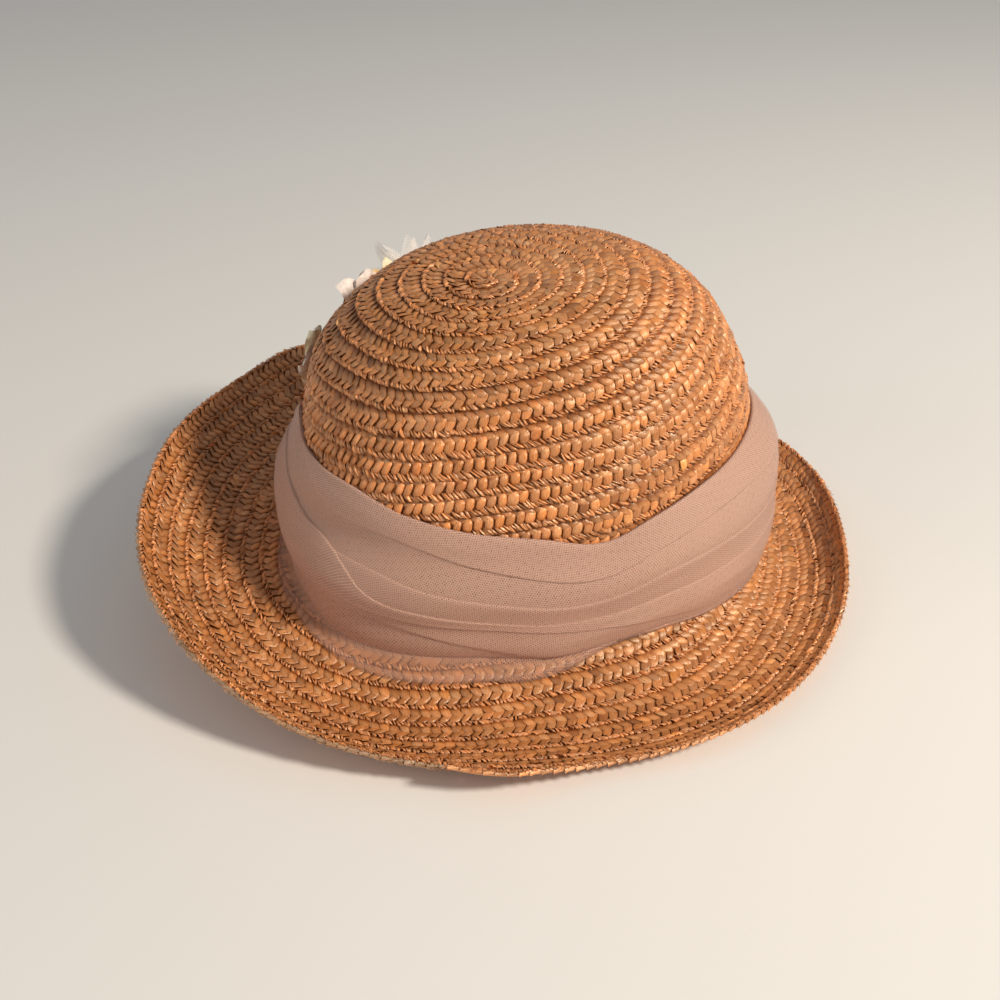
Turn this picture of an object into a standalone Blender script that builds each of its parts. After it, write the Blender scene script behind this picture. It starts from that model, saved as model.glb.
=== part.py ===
"""Straw hat with a domed crown, a rolled brim, a wrap of gathered net and cloth flowers.

Metres, +Z up.  The hat lies on z = 0, with the middle of its outline over the origin.
Bearings are degrees from +X towards +Y.  The spiral of braid ends at the brim's -Y edge.
"""
import math

import bpy
import numpy as np

# Straw
WALL = 0.0022            # two overlapped layers of braid
ROW = 0.0081             # what each turn of braid adds
CROWN_LENGTH = 0.1888    # outside the crown's foot, along its longer axis
CROWN_WIDTH = 0.1684     # and across it
CROWN_HEIGHT = 0.1072    # from the crown's foot to its tip
LONG_AXIS = 11.0         # bearing of the longer axis
TILT_BACK = 1.6          # how far the hat leans as it lies
TILT_LEFT = 6.0
BRIM_WIDTH = 0.0846      # along the straw, from the crown's foot to the edge
PRESSED = 0.0012         # how much the lowest straw gives where the hat lies on it
BRAID_END = 263.0        # bearing where the last turn stops and the edge steps in

# Net band
NET_THICK = 0.0012       # the gathered layers pressed together
NET_SWELL = 0.0160       # how far the gathers stand off the straw
NET_PLEAT = 0.0010       # height of the long pleats

# Flowers
LARGE_FLOWER = 0.0180    # radius over the petals
SMALL_FLOWER = 0.0155
TUFT = 0.0210            # radius over the points of net
PETAL_THICK = 0.0012

GAP = 0.0004             # between pieces that touch

ROUND = 60               # columns round the hat
CROWN_ROWS, BRIM_ROWS, BAND_ROWS, PETAL_ROWS = 15, 12, 10, 4


class Table:
    """Rows under named columns, read by a smooth curve over the first column."""

    def __init__(self, names, rows, around=False):
        self.names, self.around = names.split(), around
        rows = np.array(rows, float)
        if around:
            before, after = rows[-1:].copy(), rows[:2].copy()
            before[:, 0] -= 360.0
            after[:, 0] += 360.0
            rows = np.concatenate([before, rows, after])
        self.rows = rows

    def at(self, name, where):
        x, y = self.rows[:, 0], self.rows[:, self.names.index(name)]
        where = np.asarray(where, float)
        where = where % 360.0 if self.around else where
        slope = np.gradient(y, x)
        k = np.clip(np.searchsorted(x, where, side="right") - 1, 0, len(x) - 2)
        step = x[k + 1] - x[k]
        t = np.clip((where - x[k]) / step, 0, 1)
        return ((1 + 2 * t) * (1 - t) ** 2 * y[k] + t * (1 - t) ** 2 * step * slope[k]
                + t * t * (3 - 2 * t) * y[k + 1] + t * t * (t - 1) * step * slope[k + 1])


# The crown from its tip (way 0) to its foot (way 1).  Long and wide are shares of the foot's two
# lengths, up of CROWN_HEIGHT, and right and back, where the section's middle lies, of half CROWN_WIDTH.
SECTIONS = Table("way long wide up right back", (
    (0.0, 0.000, 0.000, 1.010, 0.062, -0.046),
    (0.1, 0.204, 0.223, 1.014, 0.062, -0.046),
    (0.2, 0.393, 0.419, 1.010, 0.068, -0.039),
    (0.3, 0.578, 0.601, 0.970, 0.067, -0.023),
    (0.4, 0.739, 0.748, 0.877, 0.061, 0.000),
    (0.5, 0.862, 0.853, 0.751, 0.046, 0.025),
    (0.6, 0.943, 0.935, 0.609, 0.039, 0.024),
    (0.7, 1.001, 0.996, 0.461, 0.036, 0.017),
    (0.8, 1.025, 1.023, 0.308, 0.031, 0.006),
    (0.9, 1.022, 1.023, 0.153, 0.020, -0.002),
    (1.0, 1.000, 1.000, 0.000, 0.000, 0.000)))

# Dents and swells of the crown at its shoulder and at its foot, as shares of its size there.
SWELLS = Table("bearing shoulder foot", (
    (0, 0.024, 0.026), (30, -0.016, -0.016), (60, -0.053, 0.002), (90, -0.004, 0.040),
    (120, 0.036, 0.011), (150, 0.033, -0.063), (180, 0.032, -0.056), (210, -0.045, 0.050),
    (240, -0.027, 0.054), (270, -0.027, -0.046), (300, 0.009, -0.011), (330, 0.024, 0.001)), around=True)

# Slope of the brim in degrees, up as it goes out, at its foot, half way and at BRIM_WIDTH.
BRIM = Table("bearing foot middle edge", (
    (0, -91, -48, 58), (30, -58, -42, 28), (60, -34, -33, -1), (75, -34, -34, 6),
    (90, -35, -34, 6), (105, -30, -31, 6), (118, -16, -8, 26), (132, -2, 12, 52),
    (150, -2, 17, 67), (180, 2, 23, 76), (210, -27, 19, 71), (240, -58, -8, 72),
    (270, -72, -20, 39), (300, -77, -31, 41), (330, -98, -40, 36)), around=True)

# The band's upper edge by its way down the crown and its lower edge by its reach, a share of
# BRIM_WIDTH, over the brim; swell is a share of NET_SWELL, drift moves the pleats, in pleats.
BAND = Table("bearing top reach swell drift", (
    (0, 0.790, 0.45, 0.85, 0.70), (20, 0.790, 0.42, 0.75, 0.80), (45, 0.790, 0.36, 0.55, 0.90),
    (90, 0.790, 0.30, 0.45, 1.00), (130, 0.785, 0.28, 0.45, 1.00), (155, 0.750, 0.26, 0.50, 1.00),
    (170, 0.710, 0.25, 0.54, 0.60), (180, 0.670, 0.22, 0.56, 0.20), (190, 0.650, 0.17, 0.58, 0.10),
    (202, 0.668, 0.13, 0.56, 0.00), (215, 0.680, 0.15, 0.46, 0.05), (230, 0.690, 0.21, 0.36, 0.12),
    (245, 0.733, 0.22, 0.32, 0.20), (260, 0.780, 0.25, 0.32, 0.30), (275, 0.815, 0.30, 0.34, 0.38),
    (290, 0.853, 0.27, 0.36, 0.45), (302, 0.828, 0.28, 0.40, 0.50), (316, 0.812, 0.35, 0.52, 0.56),
    (332, 0.809, 0.43, 0.70, 0.62), (346, 0.798, 0.46, 0.82, 0.66)), around=True)


def oval_axes():
    a = math.radians(LONG_AXIS)
    return np.array([math.cos(a), math.sin(a)]), np.array([-math.sin(a), math.cos(a)])


def crown(way, bearing):
    """Outer face of the crown in the hat's own frame, with the middle of its foot at the origin."""
    along, across = oval_axes()
    turn = np.radians(bearing - LONG_AXIS)
    shoulder = np.clip(1 - np.abs(way - 0.5) / 0.35, 0, 1)
    foot = np.clip((way - 0.3) / 0.6, 0, 1)
    swell = 1 + SWELLS.at("shoulder", bearing) * shoulder + SWELLS.at("foot", bearing) * foot
    long = 0.5 * CROWN_LENGTH * SECTIONS.at("long", way) * np.cos(turn) * swell
    wide = 0.5 * CROWN_WIDTH * SECTIONS.at("wide", way) * np.sin(turn) * swell
    x = long * along[0] + wide * across[0] + 0.5 * CROWN_WIDTH * SECTIONS.at("right", way)
    y = long * along[1] + wide * across[1] + 0.5 * CROWN_WIDTH * SECTIONS.at("back", way)
    return np.stack(np.broadcast_arrays(x, y, CROWN_HEIGHT * SECTIONS.at("up", way)), -1)


def outward(bearing):
    """Level direction square to the crown's foot."""
    along, across = oval_axes()
    turn = np.radians(bearing - LONG_AXIS)
    level = ((np.cos(turn) / CROWN_LENGTH)[..., None] * along
             + (np.sin(turn) / CROWN_WIDTH)[..., None] * across)
    level = level / np.linalg.norm(level, axis=-1, keepdims=True)
    return np.concatenate([level, np.zeros(level.shape[:-1] + (1,))], -1)


def brim_width(bearing):
    """The edge draws in by one row over each turn of the braid, and steps out again past its end."""
    return BRIM_WIDTH + ROW * (0.5 - ((bearing - BRAID_END) % 360.0) / 360.0)


def brim(reach, bearing):
    """Upper face of the brim, a reach along the straw from the crown's foot, in the hat's own frame."""
    nodes, weights = np.polynomial.legendre.leggauss(6)
    share = reach[..., None] * (nodes + 1) / 2 / BRIM_WIDTH
    foot, middle, edge = (BRIM.at(name, bearing)[..., None] for name in ("foot", "middle", "edge"))
    slope = np.radians(foot + (4 * middle - 3 * foot - edge) * share
                       + 2 * (foot + edge - 2 * middle) * share ** 2)
    out = (np.cos(slope) * weights / 2).sum(-1) * reach - WALL / 2
    up = (np.sin(slope) * weights / 2).sum(-1) * reach - GAP
    return (crown(np.ones_like(bearing), bearing) + outward(bearing) * out[..., None]
            + up[..., None] * [0, 0, 1])


def lifted(face, along, bearing, lift):
    """A point of the crown or brim, moved off it square to its face."""
    down = face(along + 1e-3, bearing) - face(along - 1e-3, bearing)
    across = face(along, bearing + 0.5) - face(along, bearing - 0.5)
    normal = np.cross(down, across)
    return face(along, bearing) + lift * normal / np.linalg.norm(normal, axis=-1, keepdims=True)


def band(share, bearing):
    """Inner face of the band, from its upper edge on the crown to its lower edge on the brim."""
    upper = lifted(crown, BAND.at("top", bearing), bearing, 2 * GAP)
    lower = lifted(brim, BAND.at("reach", bearing) * BRIM_WIDTH, bearing, 2 * GAP + 0.6 * NET_THICK)
    fall = (upper - lower) * [0, 0, 0.3]
    puff = outward(bearing) * (NET_SWELL * BAND.at("swell", bearing))[..., None]
    s = share[..., None]
    line = ((1 - s) ** 3 * upper + 3 * (1 - s) ** 2 * s * (upper - fall + 1.4 * puff)
            + 3 * (1 - s) * s ** 2 * (lower + fall + 0.5 * puff) + s ** 3 * lower)
    pleats = np.sin(2 * math.pi * (2 * share + BAND.at("drift", bearing))) * np.sin(math.pi * share) ** 0.5
    return line + outward(bearing) * (NET_PLEAT * pleats)[..., None]


def leaning(points):
    """From the hat's own frame to how it leans as it lies."""
    back, left = math.radians(TILT_BACK), -math.radians(TILT_LEFT)
    about_x = np.array([[1, 0, 0], [0, math.cos(back), -math.sin(back)], [0, math.sin(back), math.cos(back)]])
    about_y = np.array([[math.cos(left), 0, math.sin(left)], [0, 1, 0], [-math.sin(left), 0, math.cos(left)]])
    return points @ (about_y @ about_x).T


def facing(grid):
    """Unit normals of a grid whose columns run round the hat and whose rows run away from its middle."""
    rows = np.gradient(grid, axis=0)
    columns = np.roll(grid, -1, axis=1) - np.roll(grid, 1, axis=1)
    normal = np.cross(rows, columns)
    length = np.linalg.norm(normal, axis=-1, keepdims=True)
    if length[0].max() < 1e-12:
        normal[0], length[0] = normal[1].mean(axis=0), np.linalg.norm(normal[1].mean(axis=0))
    return normal / length


def flower(way, bearing, radius, lobes, notch, sharp, cup, turn):
    """Upper face of a lobed cup seated on the crown, and its axis; its rows run out from its middle."""
    middle, toe = np.array([way]), np.array([bearing])
    base = crown(middle, toe)[0]
    axis = lifted(crown, middle, toe, 1.0)[0] - base
    up = np.array([0, 0, 1]) - axis * axis[2]
    up /= np.linalg.norm(up)
    side = np.cross(up, axis)
    share, angle = np.meshgrid(np.linspace(0, 1, PETAL_ROWS + 1),
                               np.arange(8 * lobes) / (8 * lobes) * 2 * math.pi, indexing="ij")
    lobe = notch + (1 - notch) * np.abs(np.cos(lobes * (angle - turn) / 2)) ** sharp
    out = radius * share * (1 + (lobe - 1) * share)
    high = PETAL_THICK + GAP + cup * radius * share ** 2
    return (base + out[..., None] * (np.cos(angle)[..., None] * side + np.sin(angle)[..., None] * up)
            + high[..., None] * axis), axis


def material(name, colour, roughness):
    made = bpy.data.materials.new(name)
    made.use_nodes = True
    shader = made.node_tree.nodes["Principled BSDF"]
    shader.inputs["Base Color"].default_value = (*colour, 1.0)
    shader.inputs["Roughness"].default_value = roughness
    shader.inputs["Metallic"].default_value = 0.0
    return made


def closed_shell(name, upper, under, look):
    """One closed body between two grids; a first row drawn together to a point closes as a tip."""
    count, around = upper.shape[:2]
    tip = np.ptp(upper[0], axis=0).max() < 1e-9
    points, tables = [], []
    for face in (upper, under):
        table = np.empty((count, around), int)
        for r in range(count):
            drawn = face[r, :1] if r == 0 and tip else face[r]
            table[r] = len(points) + np.arange(len(drawn))
            points.extend(map(tuple, drawn))
        tables.append(table.tolist())
    above, below = tables
    faces = []
    for c in range(around):
        d = (c + 1) % around
        for r in range(count - 1):
            for table, order in ((above, 1), (below, -1)):
                ring = dict.fromkeys((table[r][c], table[r + 1][c], table[r + 1][d], table[r][d]))
                faces.append(list(ring)[::order])
        faces.append([above[-1][c], below[-1][c], below[-1][d], above[-1][d]])
        if not tip:
            faces.append([above[0][c], above[0][d], below[0][d], below[0][c]])
    mesh = bpy.data.meshes.new(name)
    mesh.from_pydata(points, [], faces)
    mesh.materials.append(look)
    mesh.shade_smooth()
    mesh.set_sharp_from_angle(angle=math.radians(50))
    made = bpy.data.objects.new(name, mesh)
    bpy.context.scene.collection.objects.link(made)
    return made


for old in list(bpy.data.objects):
    bpy.data.objects.remove(old, do_unlink=True)

straw = material("straw", (0.66, 0.44, 0.21), 0.60)
net = material("net", (0.78, 0.62, 0.57), 0.80)
petal = material("petal", (0.80, 0.75, 0.68), 0.80)

bearings = BRAID_END + np.arange(ROUND) * 360 / ROUND
stepped = np.concatenate([[BRAID_END - 0.5, BRAID_END + 0.5], bearings[1:]])

# Brim, pressed flat where it lies on the table
share, bearing = np.meshgrid(np.linspace(0, 1, BRIM_ROWS + 1), stepped, indexing="ij")
upper = leaning(brim(share * brim_width(bearing), bearing))
under = upper - WALL * facing(upper)
both = np.concatenate([upper, under]).reshape(-1, 3)
low, high = both.min(axis=0), both.max(axis=0)
seat = np.array([(low[0] + high[0]) / 2, (low[1] + high[1]) / 2, low[2] + PRESSED])
upper, under = upper - seat, under - seat
upper[..., 2] = np.maximum(upper[..., 2], WALL)
under[..., 2] = np.maximum(under[..., 2], 0.0)
closed_shell("brim", upper, under, straw)

# Crown
way, bearing = np.meshgrid(np.linspace(0, 1, CROWN_ROWS + 1), bearings, indexing="ij")
upper = leaning(crown(way, bearing)) - seat
closed_shell("crown", upper, upper - WALL * facing(upper), straw)

# Band
share, bearing = np.meshgrid(np.linspace(0, 1, BAND_ROWS + 1), bearings, indexing="ij")
under = leaning(band(share, bearing)) - seat
closed_shell("tulle_band", under + NET_THICK * facing(under), under, net)

# Flowers and tuft, each by its way down the crown, bearing, size, lobes and their shape
for name, look, shape in (
        ("flower_large", petal, (0.560, 142.0, LARGE_FLOWER, 6, 0.60, 0.5, 0.08, 0.82)),
        ("flower_small", petal, (0.605, 166.5, SMALL_FLOWER, 5, 0.60, 0.5, 0.01, 0.10)),
        ("tulle_tuft", net, (0.565, 122.5, TUFT, 8, 0.55, 1.2, 0.52, 0.20))):
    upper, axis = flower(*shape)
    closed_shell(name, leaning(upper) - seat, leaning(upper - PETAL_THICK * axis) - seat, look)
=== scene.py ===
"""The looks of a straw hat: sewn straw braid, a wrap of gathered net, cloth flowers and loose ends.

Metres, +Z up, unless a comment says millimetres.  Bearings are degrees from +X towards +Y.
"""
import math
from typing import NamedTuple

import bpy
import numpy as np
from mathutils import Matrix, Vector


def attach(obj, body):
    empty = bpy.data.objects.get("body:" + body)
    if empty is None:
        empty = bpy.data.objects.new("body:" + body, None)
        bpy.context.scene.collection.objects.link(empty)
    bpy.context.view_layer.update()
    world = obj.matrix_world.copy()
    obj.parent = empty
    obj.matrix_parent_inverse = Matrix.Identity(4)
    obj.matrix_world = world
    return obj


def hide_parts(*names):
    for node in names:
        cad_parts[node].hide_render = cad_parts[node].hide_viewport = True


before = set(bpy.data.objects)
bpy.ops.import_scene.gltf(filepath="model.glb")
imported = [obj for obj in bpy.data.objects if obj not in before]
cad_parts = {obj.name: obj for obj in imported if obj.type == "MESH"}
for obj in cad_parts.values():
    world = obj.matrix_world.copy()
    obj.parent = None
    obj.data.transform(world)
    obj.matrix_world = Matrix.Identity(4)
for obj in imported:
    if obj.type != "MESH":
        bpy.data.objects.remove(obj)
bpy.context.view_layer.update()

MM = 0.001
rng = np.random.default_rng(7)


# The hat's own surfaces, as the part's source has them
class Table:
    """Rows under named columns, read by a smooth curve over the first column."""

    def __init__(self, names, rows, around=False):
        self.names, self.around = names.split(), around
        rows = np.array(rows, float)
        if around:
            before, after = rows[-1:].copy(), rows[:2].copy()
            before[:, 0] -= 360.0
            after[:, 0] += 360.0
            rows = np.concatenate([before, rows, after])
        self.rows = rows

    def at(self, name, where):
        x, y = self.rows[:, 0], self.rows[:, self.names.index(name)]
        where = np.asarray(where, float)
        where = where % 360.0 if self.around else where
        slope = np.gradient(y, x)
        k = np.clip(np.searchsorted(x, where, side="right") - 1, 0, len(x) - 2)
        step = x[k + 1] - x[k]
        t = np.clip((where - x[k]) / step, 0, 1)
        return ((1 + 2 * t) * (1 - t) ** 2 * y[k] + t * (1 - t) ** 2 * step * slope[k]
                + t * t * (3 - 2 * t) * y[k + 1] + t * t * (t - 1) * step * slope[k + 1])


WALL = 0.0022  # two overlapped layers of braid
ROW = 0.0081  # what each turn of braid adds
CROWN_LENGTH = 0.1888  # outside the crown's foot, along its longer axis
CROWN_WIDTH = 0.1684  # and across it
CROWN_HEIGHT = 0.1072  # from the crown's foot to its tip
LONG_AXIS = 11.0  # bearing of the longer axis
TILT_BACK = 1.6  # how far the hat leans as it lies
TILT_LEFT = 6.0
BRIM_WIDTH = 0.0846  # along the straw, from the crown's foot to the edge
PRESSED = 0.0012  # how much the lowest straw gives where the hat lies on it
BRAID_END = 263.0  # bearing where the last turn stops and the edge steps in
GAP = 0.0004  # between pieces that touch
CROWN_RUN = 0.1656  # along the wall, from the middle of the dome to the foot

# The crown from the middle of its dome, 0, to its foot, 1, as shares of its length, width and height
SECTIONS = Table("way long wide up right back", (
    (0.0, 0.000, 0.000, 1.010, 0.062, -0.046),
    (0.1, 0.204, 0.223, 1.014, 0.062, -0.046),
    (0.2, 0.393, 0.419, 1.010, 0.068, -0.039),
    (0.3, 0.578, 0.601, 0.970, 0.067, -0.023),
    (0.4, 0.739, 0.748, 0.877, 0.061, 0.000),
    (0.5, 0.862, 0.853, 0.751, 0.046, 0.025),
    (0.6, 0.943, 0.935, 0.609, 0.039, 0.024),
    (0.7, 1.001, 0.996, 0.461, 0.036, 0.017),
    (0.8, 1.025, 1.023, 0.308, 0.031, 0.006),
    (0.9, 1.022, 1.023, 0.153, 0.020, -0.002),
    (1.0, 1.000, 1.000, 0.000, 0.000, 0.000)))

# How much the crown swells at its shoulder and above its foot, as shares
SWELLS = Table("bearing shoulder foot", (
    (0, 0.024, 0.026), (30, -0.016, -0.016), (60, -0.053, 0.002), (90, -0.004, 0.040),
    (120, 0.036, 0.011), (150, 0.033, -0.063), (180, 0.032, -0.056), (210, -0.045, 0.050),
    (240, -0.027, 0.054), (270, -0.027, -0.046), (300, 0.009, -0.011), (330, 0.024, 0.001)), around=True)
SHOULDER, SHOULDER_REACH = 0.5, 0.35
FOOT_SWELL_FROM, FOOT_SWELL_OVER = 0.3, 0.6

# The brim's slope at its foot, middle and edge, in degrees up
BRIM = Table("bearing foot middle edge", (
    (0, -91, -48, 58), (30, -58, -42, 28), (60, -34, -33, -1), (75, -34, -34, 6),
    (90, -35, -34, 6), (105, -30, -31, 6), (118, -16, -8, 26), (132, -2, 12, 52),
    (150, -2, 17, 67), (180, 2, 23, 76), (210, -27, 19, 71), (240, -58, -8, 72),
    (270, -72, -20, 39), (300, -77, -31, 41), (330, -98, -40, 36)), around=True)


def unit(vectors):
    return vectors / np.linalg.norm(vectors, axis=-1, keepdims=True)


def lengths_along(grid, axis):
    """How far each point of a grid lies along its line, from the line's first point."""
    steps = np.linalg.norm(np.diff(grid, axis=axis), axis=-1)
    first = np.zeros_like(np.take(steps, [0], axis))
    return np.concatenate([first, np.cumsum(steps, axis)], axis)


def along_oval(long, wide):
    """X and Y of a point that lies long and wide along the oval's own two axes."""
    axis = math.radians(LONG_AXIS)
    return long * math.cos(axis) - wide * math.sin(axis), long * math.sin(axis) + wide * math.cos(axis)


def crown(way, bearing):
    """Outer face of the crown in the hat's own frame, with the middle of its foot at the origin."""
    turn = np.radians(bearing - LONG_AXIS)
    shoulder = np.clip(1 - np.abs(way - SHOULDER) / SHOULDER_REACH, 0, 1)
    foot = np.clip((way - FOOT_SWELL_FROM) / FOOT_SWELL_OVER, 0, 1)
    swell = 1 + SWELLS.at("shoulder", bearing) * shoulder + SWELLS.at("foot", bearing) * foot
    x, y = along_oval(0.5 * CROWN_LENGTH * SECTIONS.at("long", way) * np.cos(turn) * swell,
                      0.5 * CROWN_WIDTH * SECTIONS.at("wide", way) * np.sin(turn) * swell)
    x = x + 0.5 * CROWN_WIDTH * SECTIONS.at("right", way)
    y = y + 0.5 * CROWN_WIDTH * SECTIONS.at("back", way)
    return np.stack(np.broadcast_arrays(x, y, CROWN_HEIGHT * SECTIONS.at("up", way)), -1)


def outward(bearing):
    """Level direction square to the crown's foot."""
    turn = np.radians(bearing - LONG_AXIS)
    x, y = along_oval(np.cos(turn) / CROWN_LENGTH, np.sin(turn) / CROWN_WIDTH)
    return unit(np.stack([x, y, 0 * x], -1))


def brim_width(bearing):
    """The edge lies one row further out after each turn, and steps back in at the braid's end."""
    return BRIM_WIDTH + ROW * (0.5 - ((bearing - BRAID_END) % 360.0) / 360.0)


def brim(reach, bearing, inset=0.0, drop=0.0):
    """Face of the brim, a reach along the straw from the crown's foot, in the hat's own frame."""
    nodes, weights = np.polynomial.legendre.leggauss(6)
    share = reach[..., None] * (nodes + 1) / 2 / BRIM_WIDTH
    foot, middle, edge = (BRIM.at(name, bearing)[..., None] for name in ("foot", "middle", "edge"))
    slope = foot + (4 * middle - 3 * foot - edge) * share + 2 * (foot + edge - 2 * middle) * share ** 2
    slope = np.radians(slope)
    out = (np.cos(slope) * weights / 2).sum(-1) * reach - inset
    up = (np.sin(slope) * weights / 2).sum(-1) * reach - drop
    level = crown(np.ones_like(bearing), bearing) + outward(bearing) * out[..., None]
    return level + up[..., None] * [0, 0, 1]


def brim_solid(reach, bearing):
    """The brim's face where the solid has it."""
    return brim(reach, bearing, WALL / 2, GAP)


def leaning(points):
    """From the hat's own frame to how it leans."""
    back, left = math.radians(TILT_BACK), -math.radians(TILT_LEFT)
    about_x = np.array([[1, 0, 0], [0, math.cos(back), -math.sin(back)], [0, math.sin(back), math.cos(back)]])
    about_y = np.array([[math.cos(left), 0, math.sin(left)], [0, 1, 0], [-math.sin(left), 0, math.cos(left)]])
    return points @ (about_y @ about_x).T


def normals_of(grid):
    """Unit normals of a grid whose columns run round the hat."""
    rows = np.gradient(grid, axis=0)
    columns = np.roll(grid, -1, axis=1) - np.roll(grid, 1, axis=1)
    normal = np.cross(rows, columns)
    return normal / np.maximum(np.linalg.norm(normal, axis=-1, keepdims=True), 1e-12)


def find_seat():
    """Where the table lies under the leaning hat, found on the same grid as the solid brim's."""
    step, rows = 6.0, 13
    bearings = BRAID_END + np.concatenate([[-0.5, 0.5], step * np.arange(1, 60)])
    share, bearing = np.meshgrid(np.linspace(0, 1, rows), bearings, indexing="ij")
    upper = leaning(brim_solid(share * brim_width(bearing), bearing))
    both = np.concatenate([upper, upper - WALL * normals_of(upper)]).reshape(-1, 3)
    low, high = both.min(axis=0), both.max(axis=0)
    return np.array([(low[0] + high[0]) / 2, (low[1] + high[1]) / 2, low[2] + PRESSED])


SEAT = find_seat()


def straw(down, bearing):
    """The straw's outer face, a distance down the wall from the middle of the dome."""
    bearing = np.where(down < 0, bearing + 180.0, bearing)
    down = np.abs(down)
    on_crown = crown(np.clip(down / CROWN_RUN, 0, 1), bearing)
    on_brim = brim(np.maximum(down - CROWN_RUN, 0), bearing)
    points = leaning(np.where((down < CROWN_RUN)[..., None], on_crown, on_brim)) - SEAT
    points[..., 2] = np.maximum(points[..., 2], WALL)
    return points


def straw_normal(down, bearing):
    """Unit normal of the straw's outer face, from points a small step away."""
    step, turned, nearest = 1.5 * MM, 0.7, 4 * MM
    bearing = np.where(down < 0, bearing + 180.0, bearing)
    down = np.maximum(np.abs(down), nearest)
    ahead = straw(down + step, bearing) - straw(down - step, bearing)
    across = straw(down, bearing + turned) - straw(down, bearing - turned)
    return unit(np.cross(ahead, across))


# The spiral of braid
# A turn is one round of the spiral, counted inwards from the braid's end. For each turn, in mm: where the
# middle of its round lies from the middle of the dome, its reach, and how far it is drawn out two ways.
SPIRAL = Table("turn right back reach oval skew", (
    (11.0, -5.0, -14.0, 160.0, 4.0, -2.8), (14.0, -7.1, -15.5, 136.0, 3.9, -3.0),
    (17.0, -9.6, -12.2, 112.1, 2.7, -3.2), (20.0, -10.5, -10.9, 89.1, 1.2, -3.4),
    (23.0, -11.1, -8.4, 63.6, -0.6, -2.9), (26.0, -9.2, -7.6, 39.5, -2.4, -1.6),
    (28.5, -7.7, -8.7, 18.8, -2.1, -0.6), (30.5, -7.0, -8.9, 1.2, 0.0, 0.0)))
LAST_TURN = 30.5
FOOT_TURN = 10.9  # the brim's rows are outside it
BAND_TURN = 17.0  # the net covers the rows from the foot to here
RIM_TURN = 4.0  # the rim's rows are outside it
EVEN_TURNS = (11.5, 22.5)  # behind the hat, the rows between these share out their way evenly
BEHIND_INSET = 0.12  # how much further in a point of the braid lies there

# How far the outer row stands out past its place, by the length from the braid's end, both in mm
STRAY = Table("length out", (
    (-12, 0.2), (4, 1.2), (16, 0.6), (30, -2.6), (45, -5.4), (68, -4.2), (100, -2.6), (180, -1.5),
    (300, -0.7), (420, 0.0), (430, 0.0)))
STRAY_SINKS = 0.8  # how far the outer row sinks, as a share of how far it stands out
FLOOR_GAP = 0.2 * MM  # the lowest that a strand reaches


def smooth(low, high, x):
    """A step from 0 at low to 1 at high, level at both ends."""
    t = np.clip((x - low) / (high - low), 0, 1)
    return t * t * (3 - 2 * t)


def down_brim(turn):
    """Distance down the wall to a turn's outer edge on the brim."""
    return CROWN_RUN + BRIM_WIDTH + ROW * (0.5 - turn)


def evenly_down(turn, angle):
    """Distance down the wall behind the hat, where the rows share out the way between two turns evenly."""
    low, high = EVEN_TURNS
    right, back, reach = (SPIRAL.at(name, high) * MM for name in ("right", "back", "reach"))
    top = reach + right * np.cos(angle) + back * np.sin(angle)
    return down_brim(low) + (top - down_brim(low)) * (turn - low) / (high - low)


def on_spiral(turn, inward):
    """Distance down the wall and bearing of a point of the braid, from its turn and how far in it lies."""
    bearing = BRAID_END + 360.0 * turn
    angle = np.radians(bearing)
    on_wall = smooth(11.5, 14.5, turn)
    behind = smooth(-0.05, 0.40, np.sin(angle)) * smooth(10.5, 11.5, turn) * (1 - smooth(20.5, 23.5, turn))
    inward = inward * (1 + BEHIND_INSET * behind)
    right, back, reach, oval, skew = (SPIRAL.at(name, turn) * MM for name in SPIRAL.names[1:])
    radius = reach + oval * np.cos(2 * angle) + skew * np.sin(2 * angle) - inward
    x, y = radius * np.cos(angle) + right * on_wall, radius * np.sin(angle) + back * on_wall
    shift = (np.degrees(np.arctan2(y, x)) - bearing + 180.0) % 360.0 - 180.0
    flat = down_brim(turn) - inward
    down = flat + (np.hypot(x, y) - flat) * on_wall
    down = down + (evenly_down(turn, angle) - inward - down) * behind
    return down, bearing + shift * on_wall * (1 - behind)


TURNS = np.arange(0, LAST_TURN, 1 / 360)
ROW_MIDDLE = 4.0 * MM  # where the braid's length is measured, in from its outer edge
LENGTHS = lengths_along(straw(*on_spiral(TURNS, ROW_MIDDLE)), 0)
FIRST_ROUND = LENGTHS[360]


def turn_of(length):
    return np.interp(length, LENGTHS, TURNS)


def length_at(bearing, turns_in):
    """Length along the braid where it passes a bearing."""
    return np.interp((bearing - BRAID_END) / 360.0 % 1.0 + turns_in, TURNS, LENGTHS)


def braid_point(length, inward, height):
    """A point of the braid from its distance along it, in from its outer edge, and off the straw's face;
    lengths under 0 run on back past the first turn."""
    turn = turn_of(length) + np.minimum(length, 0) / FIRST_ROUND
    stray = STRAY.at("out", length / MM) * MM
    down, bearing = on_spiral(turn, inward - stray)
    lift = (height - STRAY_SINKS * np.maximum(stray, 0))[..., None]
    points = straw(down, bearing) + straw_normal(down, bearing) * lift
    points[..., 2] = np.maximum(points[..., 2], FLOOR_GAP)
    return points


# Meshes
def linked(name, data):
    """A new object, put in the scene."""
    made = bpy.data.objects.new(name, data)
    bpy.context.scene.collection.objects.link(made)
    return made


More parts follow.
